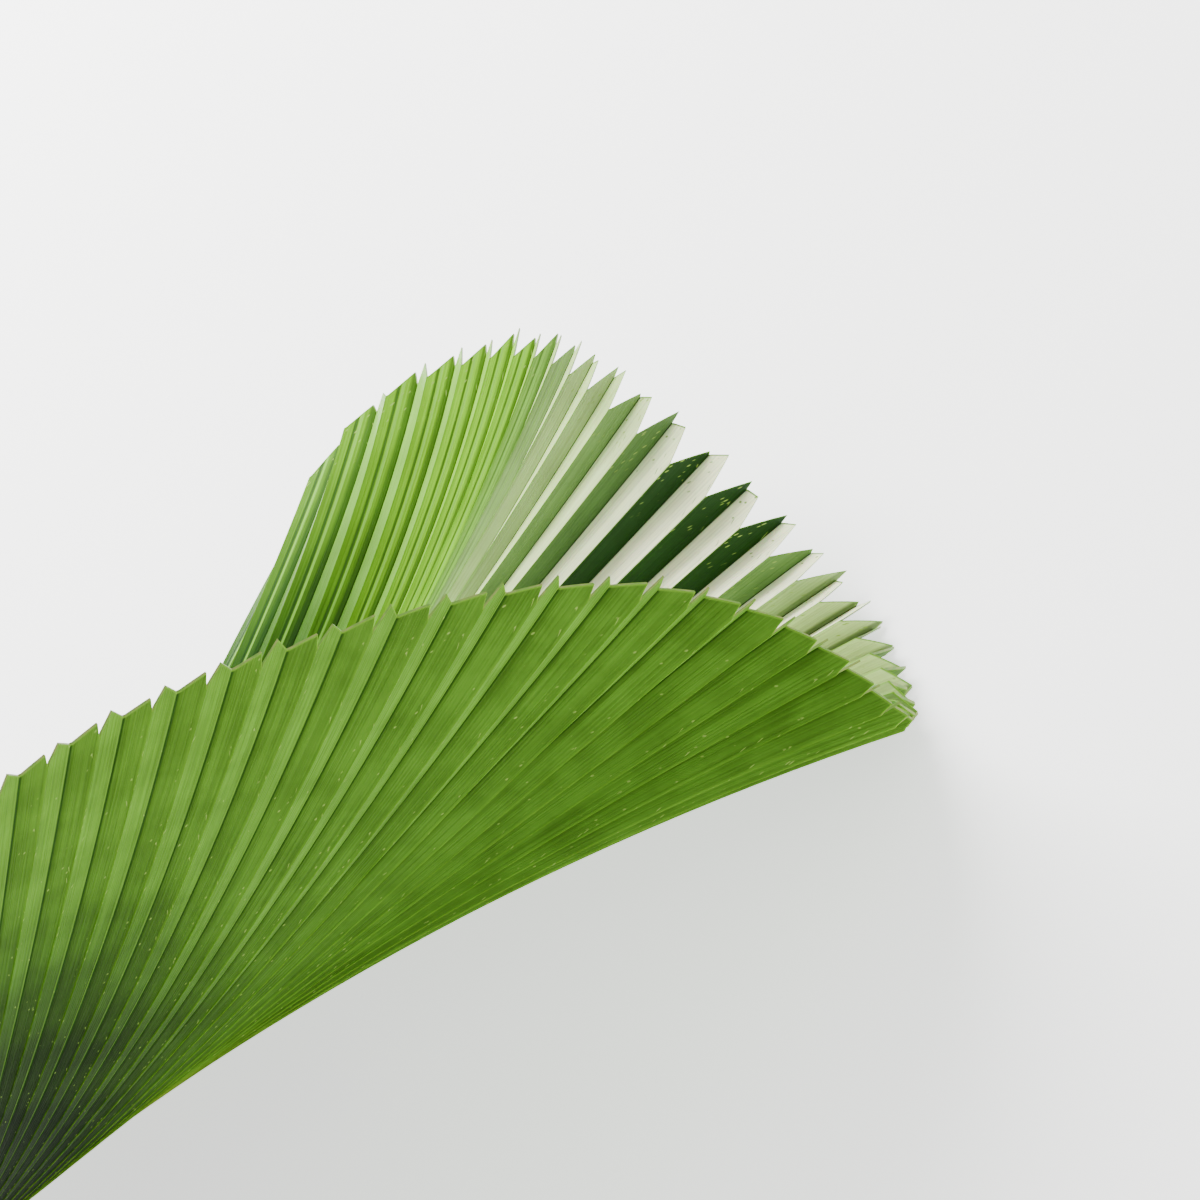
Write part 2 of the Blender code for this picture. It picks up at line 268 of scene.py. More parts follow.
def blade_columns():
    """For every column of the finer blade: its pleat, its place across it and the rim's rise."""
    pleats, acrosses, rises = [], [], []
    for pleat in range(FIRST_PLEAT, FIRST_PLEAT + PLEATS):
        across, rise = pleat_shares(pleat)
        pleats.extend(pleat + across)
        acrosses.extend(across)
        rises.extend(rise)
    pleats.append(FIRST_PLEAT + PLEATS)
    acrosses.append(0.0)
    rises.append(0.0)
    return np.array(pleats), np.array(acrosses), np.array(rises)


def blade_sheet(rows):
    """The finer blade's underside as a sheet, with its ways through and its pattern's places."""
    pleat, across, rise = blade_columns()
    share = np.linspace(0, 1, rows)[:, None]
    reach = HUB_RADIUS + share * (RIB_LENGTH(pleat) + rise - HUB_RADIUS)
    wide = np.broadcast_to(pleat, reach.shape)
    points, ways = skin_point(wide, reach, np.abs(2 * across - 1) - 0.5)
    ridge = np.where(across == 0.0, SUTURE_RIDGE, 0.0) - np.where(across == 0.5, MIDRIB_RIDGE, 0.0)
    points = points + pleat_way(wide, reach) * (ridge * np.clip(reach / PLEAT_FADE, 0, 1))[..., None]
    sheet = bmesh.new()
    bmesh.ops.create_grid(sheet, x_segments=len(pleat) - 1, y_segments=rows - 1, size=1.0)
    way_layer = sheet.verts.layers.float_vector.new("way")
    pleat_layer = sheet.verts.layers.float.new("pleat")
    share_layer = sheet.verts.layers.float.new("share")
    sheet.verts.ensure_lookup_table()
    points = points.reshape(-1, 3)
    ways = ways.reshape(-1, 3)
    for vert, point, way in zip(sheet.verts, points, ways):
        row, column = divmod(vert.index, len(pleat))
        vert.co = point
        vert[way_layer] = way
        vert[pleat_layer] = (pleat[column] - FIRST_PLEAT) / PLEATS
        vert[share_layer] = share[row, 0]
    return sheet


def thicken(sheet):
    """Closes the sheet through its thickness: underside faces 0, upper side 1, edge 2."""
    way_layer = sheet.verts.layers.float_vector["way"]
    grown = bmesh.ops.extrude_face_region(sheet, geom=sheet.faces[:], use_keep_orig=True)
    above = {item for item in grown["geom"] if isinstance(item, bmesh.types.BMVert)}
    for vert in above:
        vert.co += Vector(vert[way_layer])
    for face in sheet.faces:
        count = sum(vert in above for vert in face.verts)
        face.material_index = 0 if count == 0 else 1 if count == len(face.verts) else 2
    bmesh.ops.recalc_face_normals(sheet, faces=sheet.faces[:])


def lay_pattern(sheet):
    """The leaf's own map: across the pleats in U and from the hub to the rim in V."""
    pleat_layer = sheet.verts.layers.float["pleat"]
    share_layer = sheet.verts.layers.float["share"]
    pattern = sheet.loops.layers.uv.new("leaf")
    for face in sheet.faces:
        for loop in face.loops:
            loop[pattern].uv = (loop.vert[pleat_layer], loop.vert[share_layer])


def lowest_vertex(verts, side):
    """The lowest vertex of the rear near lobe (-1), the front fold (0) or the rear far lobe (1)."""
    if side:
        near_by = [vert for vert in verts
                   if vert.co.y * side > REAR_LOBE_Y and vert.co.x < REAR_LOBE_X]
    else:
        near_by = [vert for vert in verts if vert.co.x > FRONT_FOLD_X]
    return min(near_by, key=lambda vert: vert.co.z).co.copy()


def hub_place():
    """The middle of the stalk's head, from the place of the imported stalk."""
    low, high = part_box("leaf_stalk")
    return Vector((high.x - HUB_RADIUS + SEAT_GAP, (low.y + high.y) / 2, 0.0))


def set_down(sheet):
    """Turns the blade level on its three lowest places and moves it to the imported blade's place."""
    hub = Vector((0.0, 0.0, 0.0))
    for _ in range(LEVELLING_ROUNDS):
        near, front, far = (lowest_vertex(sheet.verts, side) for side in (-1, 0, 1))
        normal = (front - near).cross(far - near).normalized()
        level = normal.rotation_difference(Vector((0.0, 0.0, 1.0))).to_matrix()
        bmesh.ops.rotate(sheet, verts=sheet.verts[:], cent=hub, matrix=level)
    place = hub_place()
    place.z = -min(vert.co.z for vert in sheet.verts)
    bmesh.ops.translate(sheet, verts=sheet.verts[:], vec=place)


def plug(tree, socket, value):
    """Links another node's result to the socket, or sets a plain value there."""
    if isinstance(value, bpy.types.NodeSocket):
        tree.links.new(value, socket)
    elif value is not None:
        socket.default_value = value


def sum_up(tree, operation, first, second=None):
    """A Math node's result."""
    item = tree.nodes.new("ShaderNodeMath")
    item.operation = operation
    for socket, value in zip(item.inputs, (first, second)):
        plug(tree, socket, value)
    return item.outputs[0]


def times(tree, first, second):
    """The product of two values."""
    return sum_up(tree, "MULTIPLY", first, second)


def plus(tree, first, second):
    """The sum of two values."""
    return sum_up(tree, "ADD", first, second)


def ease(tree, value, start, end, low=0.0, high=1.0):
    """Goes smoothly from low to high as the value goes from start to end."""
    item = tree.nodes.new("ShaderNodeMapRange")
    item.interpolation_type = "SMOOTHSTEP"
    for socket, setting in zip(item.inputs, (value, start, end, low, high)):
        plug(tree, socket, setting)
    return item.outputs[0]


def blend(tree, share, first, second, way="MIX"):
    """Mixes two colours by a share."""
    item = tree.nodes.new("ShaderNodeMix")
    item.data_type = "RGBA"
    item.blend_type = way
    plug(tree, item.inputs[0], share)
    for place, value in ((6, first), (7, second)):
        linked = isinstance(value, bpy.types.NodeSocket)
        plug(tree, item.inputs[place], value if linked else (*value, 1.0))
    return item.outputs[2]


def cloud(tree, place, scale, detail=2.0):
    """Soft noise about 0.5 at a place."""
    item = tree.nodes.new("ShaderNodeTexNoise")
    plug(tree, item.inputs["Vector"], place)
    item.inputs["Scale"].default_value = scale
    item.inputs["Detail"].default_value = detail
    return item.outputs[0]


def new_material(name, roughness):
    """A material with its tree, its shader and its roughness set."""
    material = bpy.data.materials.new(name)
    material.use_nodes = True
    tree = material.node_tree
    shader = tree.nodes["Principled BSDF"]
    shader.inputs["Roughness"].default_value = roughness
    return material, tree, shader


def leaf_places(tree):
    """The leaf's own places: pleat count, place across the pleat, share of the way to the rim."""
    source = tree.nodes.new("ShaderNodeUVMap")
    source.uv_map = "leaf"
    parts = tree.nodes.new("ShaderNodeSeparateXYZ")
    plug(tree, parts.inputs[0], source.outputs[0])
    pleat = times(tree, parts.outputs[0], float(PLEATS))
    across = sum_up(tree, "FRACT", pleat)
    return pleat, across, parts.outputs[1]


def stretched(tree, pleat, share, fine, long):
    """A place for patterns that are drawn out along the ribs."""
    join = tree.nodes.new("ShaderNodeCombineXYZ")
    plug(tree, join.inputs[0], times(tree, pleat, fine))
    plug(tree, join.inputs[1], times(tree, share, long))
    return join.outputs[0]


def bumped(tree, shader, height, distance):
    """Gives the shader a fine relief."""
    item = tree.nodes.new("ShaderNodeBump")
    item.inputs["Strength"].default_value = 1.0
    item.inputs["Distance"].default_value = distance
    plug(tree, item.inputs["Height"], height)
    plug(tree, shader.inputs["Normal"], item.outputs[0])


def object_place(tree):
    """The place on the piece, in metres."""
    return tree.nodes.new("ShaderNodeTexCoord").outputs["Object"]


def vein_heights(tree, pleat, share):
    """Fine parallel veins between the ribs, with a little waviness."""
    veins = cloud(tree, stretched(tree, pleat, share, 26.0, 5.0), 1.0, 1.0)
    ripple = cloud(tree, stretched(tree, pleat, share, 3.0, 26.0), 1.0, 2.0)
    return veins, ripple


def leaf_specks(tree, pleat, share, rare):
    """Tiny pale specks, drawn out a little along the ribs."""
    item = tree.nodes.new("ShaderNodeTexVoronoi")
    item.inputs["Scale"].default_value = 1.0
    plug(tree, item.inputs["Vector"], stretched(tree, pleat, share, 9.0, 130.0))
    dots = ease(tree, item.outputs["Distance"], 0.12, 0.26, 1.0, 0.0)
    chosen = tree.nodes.new("ShaderNodeSeparateColor")
    plug(tree, chosen.inputs[0], item.outputs["Color"])
    return times(tree, dots, ease(tree, chosen.outputs[0], rare, rare + 0.02))


def between(tree, value, rise, top, fall, end):
    """1 from top to fall, smoothly down to 0 at rise and at end."""
    return times(tree, ease(tree, value, rise, top), ease(tree, value, fall, end, 1.0, 0.0))


def varied(tree, noise, low, high):
    """The noise, spread from low to high."""
    return ease(tree, noise, *NOISE_BAND, low, high)


def gray(tree, value):
    """One value as a grey colour."""
    join = tree.nodes.new("ShaderNodeCombineColor")
    for socket in join.inputs:
        plug(tree, socket, value)
    return join.outputs[0]


def shaded(tree, colour, *strengths):
    """The colour times every strength."""
    product = strengths[0]
    for strength in strengths[1:]:
        product = times(tree, product, strength)
    return blend(tree, 1.0, colour, gray(tree, product), "MULTIPLY")


def tones_by_pleat(tree, number, tones, colours):
    """The tone of a face, from a list of (pleat, name of the colour)."""
    item = tree.nodes.new("ShaderNodeValToRGB")
    stops = item.color_ramp.elements
    while len(stops) < len(tones):
        stops.new(0.5)
    for stop, (pleat, name) in zip(stops, tones):
        stop.position = (pleat - FIRST_PLEAT) / PLEATS
        stop.color = (*getattr(colours, name), 1.0)
    count = sum_up(tree, "SUBTRACT", number, float(FIRST_PLEAT))
    plug(tree, item.inputs[0], sum_up(tree, "DIVIDE", count, float(PLEATS)))
    return item.outputs[0]


def shine_through(shader):
    """Lets some light pass through the blade."""
    shader.inputs["Subsurface Weight"].default_value = 0.25
    shader.inputs["Subsurface Radius"].default_value = (0.5, 1.0, 0.15)
    shader.inputs["Subsurface Scale"].default_value = 0.0015


def finish_skin(tree, shader, colours, colour, share, veins, ripple, relief, gloss):
    """Gives a side its thin rim line, its colour, the relief of its veins, its gloss and its glow."""
    colour = blend(tree, ease(tree, share, *RIM_LINE), colour, colours.edge_yellow)
    plug(tree, shader.inputs["Base Color"], colour)
    bumped(tree, shader, plus(tree, veins, times(tree, ripple, 0.6)), relief)
    shader.inputs["Specular IOR Level"].default_value = gloss
    shine_through(shader)


def underside_ground(tree, colours, number, share):
    """Dark green at the hub, partly the leaf's own colour and partly painted shade, fuller green farther
    out and fresher green near the steep rim.
    """
    drift = cloud(tree, object_place(tree), 9.0, 2.0)
    outward = plus(tree, share, ease(tree, number, -19.0, -8.0, -0.26, 0.05))
    outward = plus(tree, outward, varied(tree, drift, -0.05, 0.05))
    # The dark green at the hub is partly the leaf's own colour and partly painted shade.
    colour = blend(tree, ease(tree, outward, 0.10, 0.66), colours.under_hub_and_painted_shade, colours.under_green)
    steep = ease(tree, number, -21.0, -11.0, 1.0, 0.25)
    rimward = times(tree, steep, ease(tree, share, 0.62, 1.0))
    return blend(tree, times(tree, rimward, 0.75), colour, colours.under_bright)


def underside_lines(tree, colours, colour, across, from_suture, ripple):
    """Dark sutures of painted crease shade with a pale line beside them, and pale broken midribs."""
    # Painted shade: the suture creases darkened.
    dark = ease(tree, from_suture, 0.014, 0.040, 0.95, 0.0)
    colour = blend(tree, dark, colour, colours.painted_crease_shade)
    beside = between(tree, across, 0.925, 0.945, 0.955, 0.972)
    colour = blend(tree, times(tree, beside, 0.75), colour, colours.vein_pale)
    ridge = ease(tree, from_suture, 0.455, 0.492, 0.0, 0.5)
    broken = times(tree, ridge, ease(tree, ripple, 0.35, 0.60, 0.4, 1.0))
    return blend(tree, broken, colour, colours.vein_pale)


def underside_specks(tree, colours, colour, pleat, share, from_suture):
    """Pale specks along the midribs, and a few anywhere."""
    near_rib = ease(tree, from_suture, 0.36, 0.43)
    along_rib = times(tree, leaf_specks(tree, pleat, share, 0.50), near_rib)
    anywhere = leaf_specks(tree, plus(tree, pleat, 0.37), share, 0.955)
    specks = times(tree, sum_up(tree, "MAXIMUM", along_rib, anywhere), 0.75)
    return blend(tree, specks, colour, colours.speck_pale)


def underside_material(colours):
    """Satin green with dark sutures, painted shade on one face of each pleat and beside the sutures, pale
    midribs, faint veins, mottling and specks.
    """
    material, tree, shader = new_material("leaf underside", 0.45)
    pleat, across, share = leaf_places(tree)
    number = plus(tree, pleat, float(FIRST_PLEAT))
    veins, ripple = vein_heights(tree, pleat, share)
    mottle = cloud(tree, object_place(tree), 55.0, 3.0)
    from_suture = sum_up(tree, "PINGPONG", across, 0.5)
    colour = shaded(
        tree, underside_ground(tree, colours, number, share),
        # Painted shade: the left face of each pleat and the sides of the suture creases darkened.
        ease(tree, across, 0.48, 0.52, 0.72, 1.0),
        ease(tree, from_suture, 0.0, 0.20, 0.74, 1.0),
        varied(tree, veins, 0.82, 1.14),
        varied(tree, mottle, 0.84, 1.12))
    colour = underside_lines(tree, colours, colour, across, from_suture, ripple)
    colour = underside_specks(tree, colours, colour, pleat, share, from_suture)
    finish_skin(tree, shader, colours, colour, share, veins, ripple, relief=0.0004, gloss=0.02)
    return material


def upper_faces(tree, colours, number, across, share):
    """The tones of the faces, painted light and shade among them, with deep green painted shade inwards
    on the far shoulder and near the hub.
    """
    left = tones_by_pleat(tree, number, LEFT_TONES, colours)
    right = tones_by_pleat(tree, number, RIGHT_TONES, colours)
    faces = blend(tree, ease(tree, across, 0.495, 0.505), left, right)
    shoulder = between(tree, number, 18.0, 24.0, 34.0, 44.0)
    inward = times(tree, shoulder, ease(tree, share, 0.60, 1.0, 0.92, 0.10))
    # Painted shade: deep green inwards on the far shoulder and near the hub.
    faces = blend(tree, inward, faces, colours.upper_painted_shade)
    return blend(tree, ease(tree, share, 0.20, 0.52), colours.upper_painted_shade, faces)


def upper_shade_band(tree, colours, colour, number, across):
    """A band of painted shade beside the midrib, but not on the broad plain faces."""
    plain = between(tree, number, 7.0, 8.5, 16.0, 18.5)
    beside = between(tree, across, 0.49, 0.51, 0.58, 0.66)
    banded = times(tree, sum_up(tree, "SUBTRACT", 1.0, plain), beside)
    return blend(tree, times(tree, banded, 0.7), colour, colours.upper_painted_shade)


def upper_lines(tree, colours, colour, number, across):
    """Pale sutures, a painted highlight line and a painted shade line on the faces of the far shoulder,
    and dark midribs of painted crease shade.
    """
    from_suture = sum_up(tree, "PINGPONG", across, 0.5)
    ridge = ease(tree, from_suture, 0.006, 0.026, 0.5, 0.0)
    colour = blend(tree, ridge, colour, colours.vein_pale)
    # A painted highlight line and a painted shade line on each face of the far shoulder.
    striped = ease(tree, number, 15.0, 19.0, 0.0, 0.8)
    painted_highlight_line = times(tree, between(tree, across, 0.70, 0.72, 0.75, 0.77), striped)
    colour = blend(tree, painted_highlight_line, colour, colours.painted_highlight_stripe)
    painted_shade_line = times(tree, between(tree, across, 0.77, 0.79, 0.82, 0.86), striped)
    colour = blend(tree, painted_shade_line, colour, colours.upper_painted_shade)
    # Painted shade: the midrib creases darkened.
    valley = ease(tree, from_suture, 0.475, 0.495, 0.0, 0.7)
    return blend(tree, valley, colour, colours.painted_crease_shade)


def upper_material(colours):
    """Green whose faces have the light painted on by turns: cream painted reflections and deep green
    painted shade, then lime, then painted highlight stripes.
    """
    material, tree, shader = new_material("leaf upper side", 0.38)
    pleat, across, share = leaf_places(tree)
    number = plus(tree, sum_up(tree, "FLOOR", pleat), FIRST_PLEAT + 0.5)
    veins, ripple = vein_heights(tree, pleat, share)
    mottle = cloud(tree, object_place(tree), 45.0, 3.0)
    colour = upper_faces(tree, colours, number, across, share)
    colour = upper_shade_band(tree, colours, colour, number, across)
    colour = shaded(tree, colour, varied(tree, veins, 0.88, 1.08), varied(tree, mottle, 0.92, 1.06))
    colour = upper_lines(tree, colours, colour, number, across)
    flecks = times(tree, leaf_specks(tree, pleat, share, 0.40), ease(tree, share, 0.90, 0.97))
    colour = blend(tree, flecks, colour, colours.speck_pale)
    finish_skin(tree, shader, colours, colour, share, veins, ripple, relief=0.0003, gloss=0.06)
    return material


def edge_material(colours):
    """The thin edge of the rim, yellow-green with dry spots."""
    material, tree, shader = new_material("leaf rim", 0.5)
    mottle = cloud(tree, object_place(tree), 300.0, 2.0)
    colour = blend(tree, ease(tree, mottle, 0.35, 0.65), colours.edge_yellow, colours.edge_dry)
    plug(tree, shader.inputs["Base Color"], colour)
    return material


def stalk_material(colours):
    """Smooth yellow-green skin with fine lengthwise streaks."""
    material, tree, shader = new_material("stalk skin", 0.38)
    place = object_place(tree)
    stretch = tree.nodes.new("ShaderNodeMapping")
    stretch.inputs["Scale"].default_value = (6.0, 260.0, 260.0)
    plug(tree, stretch.inputs["Vector"], place)
    streaks = cloud(tree, stretch.outputs[0], 1.0, 3.0)
    mottle = cloud(tree, place, 60.0, 3.0)
    colour = blend(tree, ease(tree, streaks, *NOISE_BAND), colours.stalk_green, colours.stalk_yellow)
    colour = blend(tree, ease(tree, mottle, 0.55, 0.75, 0.0, 0.4), colour, colours.under_green)
    plug(tree, shader.inputs["Base Color"], colour)
    bumped(tree, shader, streaks, 0.0003)
    return material


def cut_material(colours):
    """The stalk's cut end: pale, with the dots of its fibres."""
    material, tree, shader = new_material("stalk cut", 0.75)
    item = tree.nodes.new("ShaderNodeTexVoronoi")
    item.inputs["Scale"].default_value = 1100.0
    plug(tree, item.inputs["Vector"], object_place(tree))
    dots = ease(tree, item.outputs["Distance"], 0.18, 0.34, 1.0, 0.0)
    colour = blend(tree, dots, colours.cut_pale, colours.cut_brown)
    plug(tree, shader.inputs["Base Color"], colour)
    bumped(tree, shader, item.outputs["Distance"], 0.0002)
    return material


def place_piece(name, body, materials, node):
    """Makes a piece of a body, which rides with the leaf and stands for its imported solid."""
    mesh = bpy.data.meshes.new(name)
    body.to_mesh(mesh)
    body.free()
    for material in materials:
        mesh.materials.append(material)
    mesh.shade_smooth()
    mesh.set_sharp_from_angle(angle=math.radians(SMOOTH_ANGLE))
    piece = bpy.data.objects.new(name, mesh)
    bpy.context.scene.collection.objects.link(piece)
    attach(piece, "root")
    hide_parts(node)


def stalk_stations(hub_height, count):
    """Places along the stalk, as (distance behind the hub, height of its middle, radius)."""
    ball = HUB_RADIUS - SEAT_GAP
    neck_angle = math.pi - math.asin(STALK_NECK_RADIUS * NECK_SWELL / ball)
    stations = []
    for angle in np.linspace(0, neck_angle, count)[1:]:
        stations.append((-ball * math.cos(angle), hub_height, ball * math.sin(angle)))
    rest_height = STALK_CUT_RADIUS - STALK_SINK
    start = stations[-1][0] + NECK_RUN
    bend_run = STALK_REACH - STALK_FLAT_RUN - start
    for share in np.linspace(0, 1, 3 * count):
        fall = share * share * (3 - 2 * share)
        height = hub_height + (rest_height - hub_height) * fall
        radius = STALK_NECK_RADIUS + (STALK_CUT_RADIUS - STALK_NECK_RADIUS) * share
        stations.append((start + bend_run * share, height, radius))
    stations.append((STALK_REACH - STALK_FLAT_RUN / 2, rest_height, STALK_CUT_RADIUS))
    stations.append((STALK_REACH, rest_height, STALK_CUT_RADIUS))
    return stations


def carried_ring(body, edges, station, turn_layer, hub):
    """Carries a ring of edges on to the next station of the stalk."""
    behind, height, radius = station
    grown = bmesh.ops.extrude_edge_only(body, edges=edges)["geom"]
    for vert in [item for item in grown if isinstance(item, bmesh.types.BMVert)]:
        set_round(vert, behind, height, radius, turn_layer, hub)
    return [item for item in grown if isinstance(item, bmesh.types.BMEdge)]


def set_round(vert, behind, height, radius, turn_layer, hub):
    """Puts a vertex on the stalk's ring there, flattened where it would go below the surface."""
    angle = vert[turn_layer]
    rise = max(height - radius * math.cos(angle), 0.0)
    vert.co = (hub.x - behind, hub.y + radius * math.sin(angle), rise)


def stalk_body(hub, sides):
    """The stalk: a ring carried back from its round head to the cut end, which is set in a little."""
    body = bmesh.new()
    turn_layer = body.verts.layers.float.new("turn")
    stations = stalk_stations(hub.z, HEAD_STATIONS)
    bmesh.ops.create_circle(body, cap_ends=False, segments=sides, radius=1.0)
    for vert in body.verts:
        vert[turn_layer] = math.atan2(vert.co.y, vert.co.x)
    for vert in body.verts:
        set_round(vert, *stations[0], turn_layer, hub)
    head = body.edges[:]
    edges = head
    for station in stations[1:]:
        edges = carried_ring(body, edges, station, turn_layer, hub)
    bmesh.ops.contextual_create(body, geom=head)
    cut = bmesh.ops.contextual_create(body, geom=edges)["faces"]
    bmesh.ops.inset_region(body, faces=cut, thickness=CUT_INSET, depth=CUT_DEPTH)
    cut[0].material_index = 1
    bmesh.ops.recalc_face_normals(body, faces=body.faces[:])
    return body


class LeafSizes(bpy.types.PropertyGroup):
    """How finely the leaf is modelled."""
    blade_rows: IntProperty(
        name="Blade rows", description="Rows of points from the hub to the rim",
        default=BLADE_ROWS, min=8, max=60)
    stalk_sides: IntProperty(
        name="Stalk sides", description="Points round the stalk", default=48, min=12, max=128)


def colour_setting(name, description, default):
    """A colour's own setting."""
    return FloatVectorProperty(
        name=name, description=description, default=default, subtype="COLOR", min=0.0, max=1.0)


class LeafColours(bpy.types.PropertyGroup):
    """Colours of the leaf's finishes."""
    under_green: colour_setting("Underside", "Green of the underside", (0.085, 0.215, 0.018))
    # Partly painted shade: the dark green beside the hub.
    under_hub_and_painted_shade: colour_setting("Underside at hub, with painted shade", "Green beside the hub", (0.008, 0.022, 0.003))
    under_bright: colour_setting("Underside at rim", "Green near the steep rim", (0.085, 0.210, 0.012))
    upper_green: colour_setting("Upper side", "Green of the upper side", (0.045, 0.140, 0.007))
    # Painted shade: the deep green of the upper side's shaded faces.
    upper_painted_shade: colour_setting("Upper side, painted shade", "Deep green of a face in shade", (0.010, 0.042, 0.005))
    upper_lime: colour_setting("Lime", "Lime green of the far shoulder", (0.21, 0.50, 0.008))
    # Painted reflections and sheen: the cream, soft and grey tones of faces that catch the light.
    painted_reflection_cream: colour_setting("Painted cream reflection", "Face that catches most light", (0.88, 0.94, 0.58))
    painted_reflection_soft: colour_setting("Painted soft reflection", "Face that catches some light", (0.44, 0.60, 0.22))
    painted_sheen_grey: colour_setting("Painted grey sheen", "Grey-green sheen of a face", (0.15, 0.29, 0.07))
    # Painted highlight: the pale stripes of the far shoulder.
    painted_highlight_stripe: colour_setting("Painted highlight stripe", "Thin stripes of the far shoulder", (0.20, 0.46, 0.05))
    # Painted shade: the dark line in a crease.
    painted_crease_shade: colour_setting("Painted crease shade", "Dark line of a crease", (0.014, 0.05, 0.004))
    vein_pale: colour_setting("Vein", "Pale line of a rib", (0.11, 0.25, 0.02))
    speck_pale: colour_setting("Specks", "Tiny pale specks", (0.24, 0.38, 0.07))
    edge_yellow: colour_setting("Rim", "Yellow-green of the rim", (0.11, 0.24, 0.02))
    edge_dry: colour_setting("Dry rim", "Dry spots along the rim", (0.20, 0.26, 0.05))
    stalk_green: colour_setting("Stalk", "Green of the stalk", (0.085, 0.19, 0.022))
    stalk_yellow: colour_setting("Stalk streaks", "Yellow streaks of the stalk", (0.15, 0.23, 0.04))
    cut_pale: colour_setting("Cut", "Pale face of the cut", (0.36, 0.38, 0.20))
    cut_brown: colour_setting("Fibres", "Fibre ends in the cut", (0.26, 0.20, 0.09))
    floor_pale: colour_setting("Floor", "Colour of the floor", (0.90, 0.90, 0.89))


class StageSettings(bpy.types.PropertyGroup):
    """Floor, lights and camera."""
    floor_size: FloatProperty(
        name="Floor size", description="Width of the floor", default=14.0,
        unit="LENGTH", subtype="DISTANCE")
    lens: FloatProperty(
        name="Lens", description="Focal length of the camera in millimetres", default=174.54,
        unit="CAMERA", subtype="DISTANCE_CAMERA")
    key_power: FloatProperty(
        name="Key light", description="Power of the big soft light above and behind", default=420.0,
        unit="POWER", subtype="POWER")
    fill_power: FloatProperty(
        name="Fill light", description="Power of the light on the camera's side", default=20.0,
        unit="POWER", subtype="POWER")
    room_light: FloatProperty(
        name="Room light", description="Strength of the even light all round", default=1.0, min=0.0)
    floor_glow: FloatProperty(
        name="Floor glow", description="Light that the floor gives, to lift its shadows",
        default=1.3, min=0.0)


class LEAF_OT_blade(bpy.types.Operator):
    """Model the pleated blade"""
    bl_idname = "leaf.blade"
    bl_label = "Pleated Blade"

    def execute(self, context):
        sizes, colours = context.scene.leaf_sizes, context.scene.leaf_colours
        sheet = blade_sheet(sizes.blade_rows)
        thicken(sheet)
        lay_pattern(sheet)
        set_down(sheet)
        finishes = [underside_material(colours), upper_material(colours), edge_material(colours)]
        place_piece("palm_blade", sheet, finishes, "leaf_blade")
        return {"FINISHED"}


class LEAF_OT_stalk(bpy.types.Operator):
    """Model the stalk with its round head and its cut end"""
    bl_idname = "leaf.stalk"
    bl_label = "Stalk"

    def execute(self, context):
        sizes, colours = context.scene.leaf_sizes, context.scene.leaf_colours
        hub = hub_place()
        hub.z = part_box("leaf_stalk")[1].z - HUB_RADIUS + SEAT_GAP
        body = stalk_body(hub, sizes.stalk_sides)
        finishes = [stalk_material(colours), cut_material(colours)]
        place_piece("palm_stalk", body, finishes, "leaf_stalk")
        return {"FINISHED"}


def add_light(name, power, size, place, aim):
    """A soft square light at a place, turned to a point."""
    light = bpy.data.lights.new(name, "AREA")
    light.energy = power
    light.size = size
    thing = bpy.data.objects.new(name, light)
    thing.location = place
    thing.rotation_euler = (Vector(aim) - Vector(place)).to_track_quat("-Z", "Y").to_euler()
    bpy.context.scene.collection.objects.link(thing)
    return thing


def add_camera(lens):
    """The camera at the photograph's place, turned as the photograph is."""
    camera = bpy.data.cameras.new("camera")
    camera.lens = lens
    camera.clip_end = CAMERA_REACH
    thing = bpy.data.objects.new("camera", camera)
    right, up = Vector(CAMERA_RIGHT), Vector(CAMERA_UP)
    turn = Matrix((right, up, right.cross(up))).transposed()
    thing.matrix_world = Matrix.Translation(CAMERA_PLACE) @ turn.to_4x4()
    bpy.context.scene.collection.objects.link(thing)
    bpy.context.scene.camera = thing


def floor_material(colours, glow):
    """Matt, pale and nearly even, glowing a little."""
    material, tree, shader = new_material("floor", 0.7)
    shader.inputs["Emission Color"].default_value = WHITE
    shader.inputs["Emission Strength"].default_value = glow
    mottle = cloud(tree, object_place(tree), 3.0, 2.0)
    uneven = ease(tree, mottle, 0.2, 0.8, 0.0, 0.03)
    pale = blend(tree, uneven, colours.floor_pale, FLOOR_SHADE)
    plug(tree, shader.inputs["Base Color"], pale)
    return material


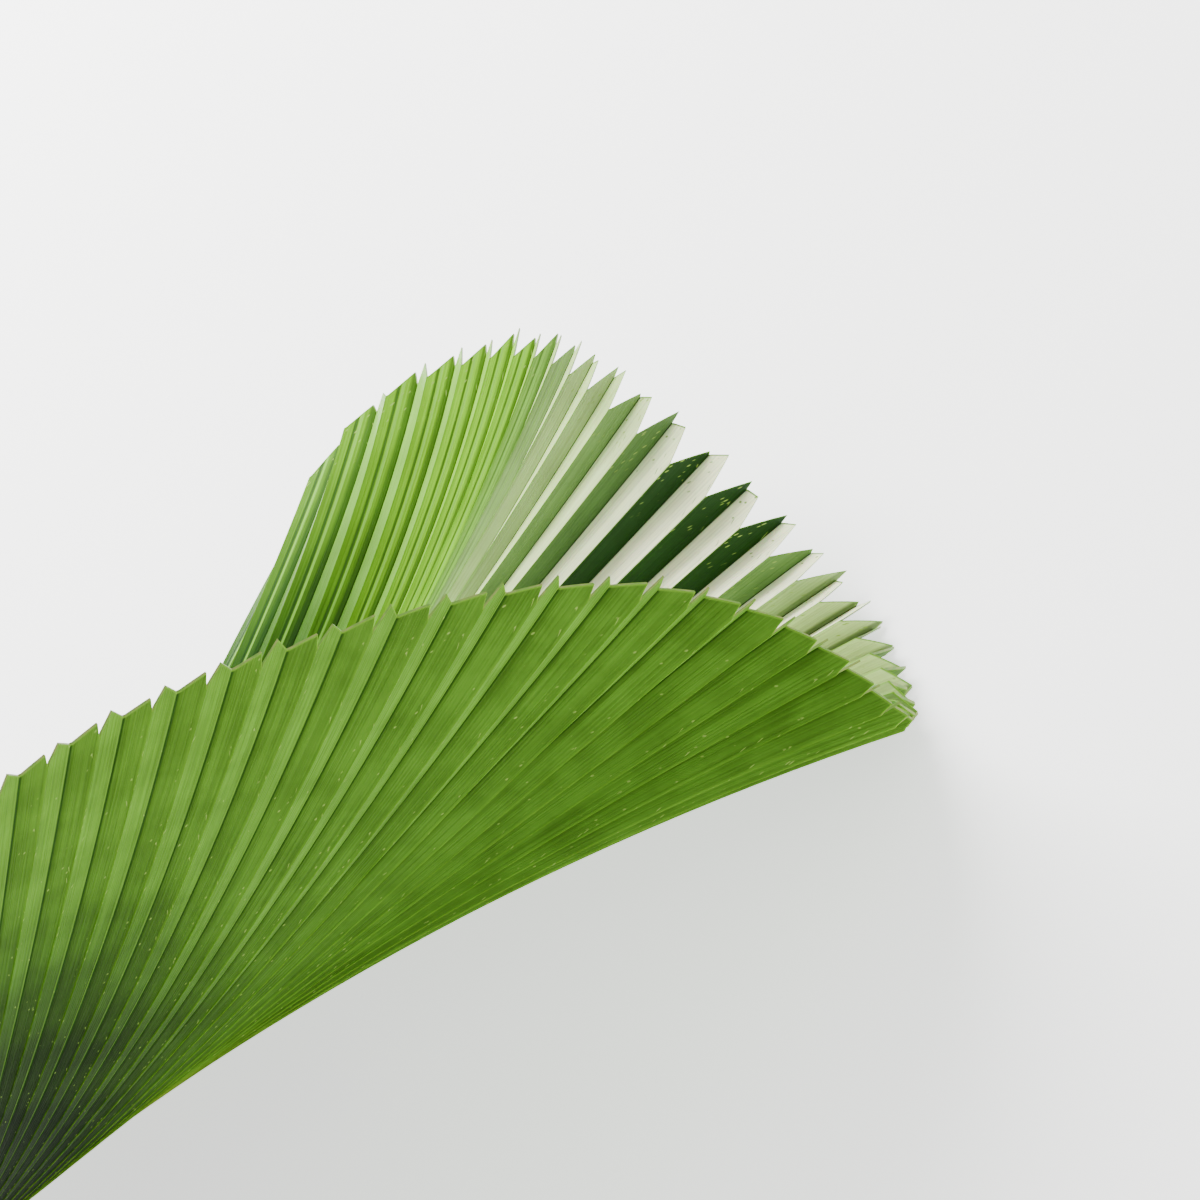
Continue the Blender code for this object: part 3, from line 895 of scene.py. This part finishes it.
class LEAF_OT_stage(bpy.types.Operator):
    """Set up the pale floor, the soft lights and the camera"""
    bl_idname = "leaf.stage"
    bl_label = "Stage"

    def execute(self, context):
        settings = context.scene.leaf_stage
        body = bmesh.new()
        bmesh.ops.create_grid(body, x_segments=1, y_segments=1, size=settings.floor_size / 2)
        mesh = bpy.data.meshes.new("floor")
        body.to_mesh(mesh)
        body.free()
        mesh.materials.append(floor_material(context.scene.leaf_colours, settings.floor_glow))
        floor = bpy.data.objects.new("floor", mesh)
        context.scene.collection.objects.link(floor)
        key = add_light("key", settings.key_power, KEY_SIZE, KEY_PLACE, LIGHT_AIM)
        key.visible_glossy = False
        add_light("fill", settings.fill_power, FILL_SIZE, FILL_PLACE, LIGHT_AIM)
        world = bpy.data.worlds.new("room")
        world.use_nodes = True
        back = world.node_tree.nodes["Background"]
        back.inputs["Color"].default_value = WHITE
        back.inputs["Strength"].default_value = settings.room_light
        context.scene.world = world
        add_camera(settings.lens)
        return {"FINISHED"}


class LEAF_PT_panel(bpy.types.Panel):
    """Lists the leaf's pieces and settings"""
    bl_idname = "LEAF_PT_panel"
    bl_label = "Palm Leaf"
    bl_space_type = "VIEW_3D"
    bl_region_type = "UI"
    bl_category = "Palm Leaf"

    def draw(self, context):
        for operator in OPERATORS:
            self.layout.operator(operator.bl_idname)
        scene = context.scene
        for settings in (scene.leaf_sizes, scene.leaf_colours, scene.leaf_stage):
            column = self.layout.column()
            for name in settings.__annotations__:
                column.prop(settings, name)


OPERATORS = (LEAF_OT_blade, LEAF_OT_stalk, LEAF_OT_stage)
CLASSES = (LeafSizes, LeafColours, StageSettings, *OPERATORS, LEAF_PT_panel)


def register():
    """Adds the leaf's settings, operators and panel."""
    for kind in CLASSES:
        bpy.utils.register_class(kind)
    bpy.types.Scene.leaf_sizes = PointerProperty(type=LeafSizes)
    bpy.types.Scene.leaf_colours = PointerProperty(type=LeafColours)
    bpy.types.Scene.leaf_stage = PointerProperty(type=StageSettings)


def unregister():
    """Takes them away again."""
    del bpy.types.Scene.leaf_stage
    del bpy.types.Scene.leaf_colours
    del bpy.types.Scene.leaf_sizes
    for kind in reversed(CLASSES):
        bpy.utils.unregister_class(kind)


def main():
    register()
    bpy.ops.leaf.blade()
    bpy.ops.leaf.stalk()
    bpy.ops.leaf.stage()


if __name__ == "__main__":
    main()
